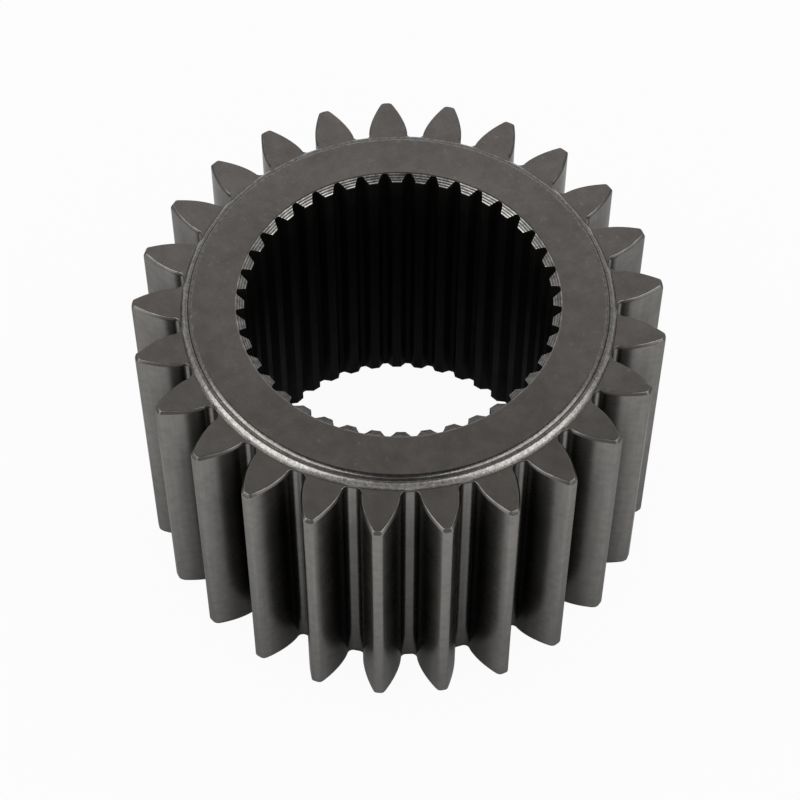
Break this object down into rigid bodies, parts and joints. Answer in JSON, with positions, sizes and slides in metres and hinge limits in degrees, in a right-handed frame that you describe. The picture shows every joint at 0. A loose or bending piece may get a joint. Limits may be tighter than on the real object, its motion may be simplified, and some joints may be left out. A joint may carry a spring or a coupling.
{
  "type": "sun gear",
  "caption": "Wide steel spur gear ring for a planetary hub: involute teeth outside, a splined bore inside and a low turned hub land at each end.",
  "frame": {"origin": "on the bore axis, in the plane of the lower hub land, so the gear stands on Z = 0", "axes": "+Z along the bore axis, from the lower land to the upper one; +X through the middle of one outer tooth; +Y completes the right-handed frame"},
  "size_m": [0.137, 0.1374, 0.088],
  "materials": {
    "gear_steel": "dark grey satin steel as heat treated and ground, brighter on the turned shoulder bevels and the lead-in chamfers, with faint mottling on the flat faces"
  },
  "bodies": {
    "root": {"sun_gear": "gear_steel"}
  },
  "joints": []
}
